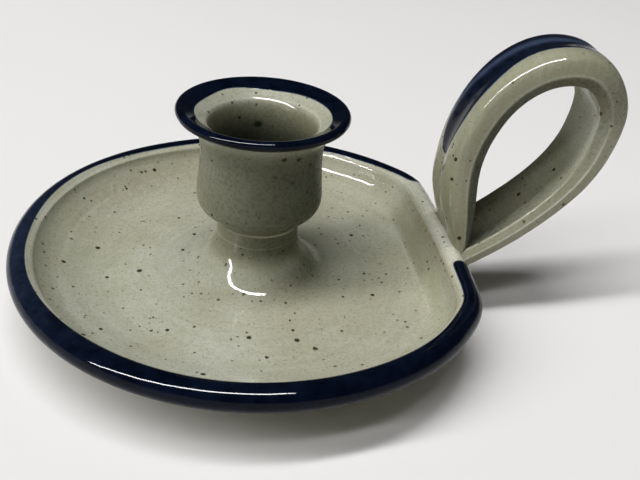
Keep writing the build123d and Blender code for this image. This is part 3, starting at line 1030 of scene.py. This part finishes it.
def clay_material(name):
    """Bare fired stoneware: matt, buff and gritty."""
    material, tree, shader = new_material(name)
    place = place_in_millimetres(tree)
    cloud = noise(place, 0.12, detail=4.0, roughness=0.6)
    grit = noise(place, 3.2, roughness=0.65)
    body = mixed(ramp(cloud, 0.35, 0.65), buff_clay, toasted_clay)
    body = mixed(ramp(grit, 0.45, 0.75, 0.0, 0.5), body, clay_grit)
    specks = speck_layer(place, cell=2.4, largest=0.45, cell_share=0.5, softness=0.1)
    body = mixed(times(specks, 0.8), body, clay_speck)
    rough = ramp(grit, 0.3, 0.7, 0.68, 0.88)
    bump = add_node(tree, "Bump", {"Height": grit, "Distance": clay_relief, "Strength": 0.8})
    set_inputs(shader, {"Base Color": body, "Roughness": rough, "Normal": bump.outputs[0]})
    return material


celadon_gloss = 0.28
cobalt_gloss = 0.12
celadon = glaze_material("celadon_glaze", celadon_gloss)
cobalt = glaze_material("blue_glaze", cobalt_gloss)
clay = clay_material("bare_clay")

slot_materials = {"celadon_glaze": celadon, "blue_glaze": cobalt}
for piece, node, slot in (
    (dish, "dish", "celadon_glaze"),
    (stem, "stem", "celadon_glaze"),
    (cup, "candle_cup", "celadon_glaze"),
    (cup_joint, "cup_joint", "celadon_glaze"),
    (handle, "handle_strap", "celadon_glaze"),
    (upper_joint, "upper_handle_joint", "celadon_glaze"),
    (lower_joint, "lower_handle_joint", "celadon_glaze"),
    (band, "dish_rim_band", "blue_glaze"),
    (lip_band, "cup_lip_band", "blue_glaze"),
    (stroke, "handle_stroke", "blue_glaze"),
):
    piece.data.materials.append(slot_materials[slot])
    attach(piece, "root")
    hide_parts(node)

foot_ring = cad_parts["foot_ring"]
foot_ring.data.materials.clear()
foot_ring.data.materials.append(clay)


# Floor, light and camera, in metres

floor_half = 6.0
floor_fade_range = (0.4, 1.8)  # distances over which painted shade darkens the floor
floor_pale = (0.83, 0.82, 0.81, 1.0)
floor_grey = (0.81, 0.8, 0.79, 1.0)
floor_far_shade = (0.36, 0.36, 0.36, 1.0)
floor_dullness = {"Roughness": 0.95, "Specular IOR Level": 0.05}


def floor_material(name):
    """Plain pale paper, faintly cloudy, with painted shade that darkens it far away."""
    material, tree, shader = new_material(name)
    place = add_node(tree, "TexCoord", {}).outputs["Object"]
    cloud = ramp(noise(place, 3.0, detail=2.0), 0.3, 0.7)
    reach = add_node(tree, "VectorMath", {0: place}, operation="LENGTH").outputs["Value"]
    paper = mixed(cloud, floor_pale, floor_grey)
    paper = mixed(ramp(reach, *floor_fade_range), paper, floor_far_shade)
    set_inputs(shader, {"Base Color": paper, **floor_dullness})
    return material


floor_mesh = bpy.data.meshes.new("floor")
floor_corners = [(floor_half * x, floor_half * y, 0) for x, y in ((-1, -1), (1, -1), (1, 1), (-1, 1))]
floor_mesh.from_pydata(floor_corners, [], [(0, 1, 2, 3)])
floor_mesh.materials.append(floor_material("pale_floor"))
floor = bpy.data.objects.new("floor", floor_mesh)
bpy.context.scene.collection.objects.link(floor)

sky_low = (0.4, 0.4, 0.4, 1.0)
sky_high = (0.03, 0.03, 0.031, 1.0)
sky_range = (0.0, 0.16)
world = bpy.data.worlds.new("studio")
world.use_nodes = True
bpy.context.scene.world = world
sky_tree = world.node_tree
sky_place = add_node(sky_tree, "TexCoord", {}).outputs["Generated"]
sky_height = add_node(sky_tree, "SeparateXYZ", {0: sky_place}).outputs[2]
sky_colour = mixed(ramp(sky_height, *sky_range), sky_low, sky_high)
set_inputs(sky_tree.nodes["Background"], {"Color": sky_colour})


def place_object(name, data, right, up, back, place):
    """New object at a place, with its axes along right, up and back."""
    made = bpy.data.objects.new(name, data)
    bpy.context.scene.collection.objects.link(made)
    made.matrix_world = Matrix.Translation(place) @ Matrix((right, up, back)).transposed().to_4x4()
    return made


def strip_light(name, ends, lift, width, power):
    """Long lamp overhead, facing down: its ends are given per metre of height."""
    first, last = (Vector((x * lift, y * lift, lift)) for x, y in ends)
    lamp = bpy.data.lights.new(name, "AREA")
    lamp.shape = "RECTANGLE"
    lamp.size = (last - first).length
    lamp.size_y = width
    lamp.energy = power
    run = (last - first).normalized()
    back = Vector((0, 0, 1))
    return place_object(name, lamp, run, back.cross(run), back, (first + last) / 2)


# Two soft lamps light the pot, and a narrower one shows only as a bright line in the glaze
front_ends = ((-3.2, -0.98), (0.17, -0.42))
overhead_ends = ((-2.4, -0.42), (0.17, 0.0))
front_lamp = strip_light("front_lamp", front_ends, lift=2.5, width=0.3, power=68.0)
overhead_lamp = strip_light("overhead_lamp", overhead_ends, lift=2.5, width=0.3, power=131.0)
line_lamp = strip_light("line_lamp", front_ends, lift=2.2, width=0.25, power=800.0)
front_lamp.visible_glossy = False
overhead_lamp.visible_glossy = False
line_lamp.visible_diffuse = False

camera_place = Vector((-22.0, -179.35, 127.66)) * millimetre
camera_ahead = Vector((0.17849, 0.83626, -0.51847)).normalized()
camera_right = Vector((0.98390, -0.15664, 0.08606)).normalized()
camera_up = camera_right.cross(camera_ahead).normalized()
camera_data = bpy.data.cameras.new("camera")
camera_data.sensor_width = 36.0
camera_data.lens = 47.15
camera_data.clip_start = 0.005
camera = place_object("camera", camera_data, camera_right, camera_up, -camera_ahead, camera_place)
bpy.context.scene.camera = camera
bpy.context.scene.view_settings.view_transform = "Standard"
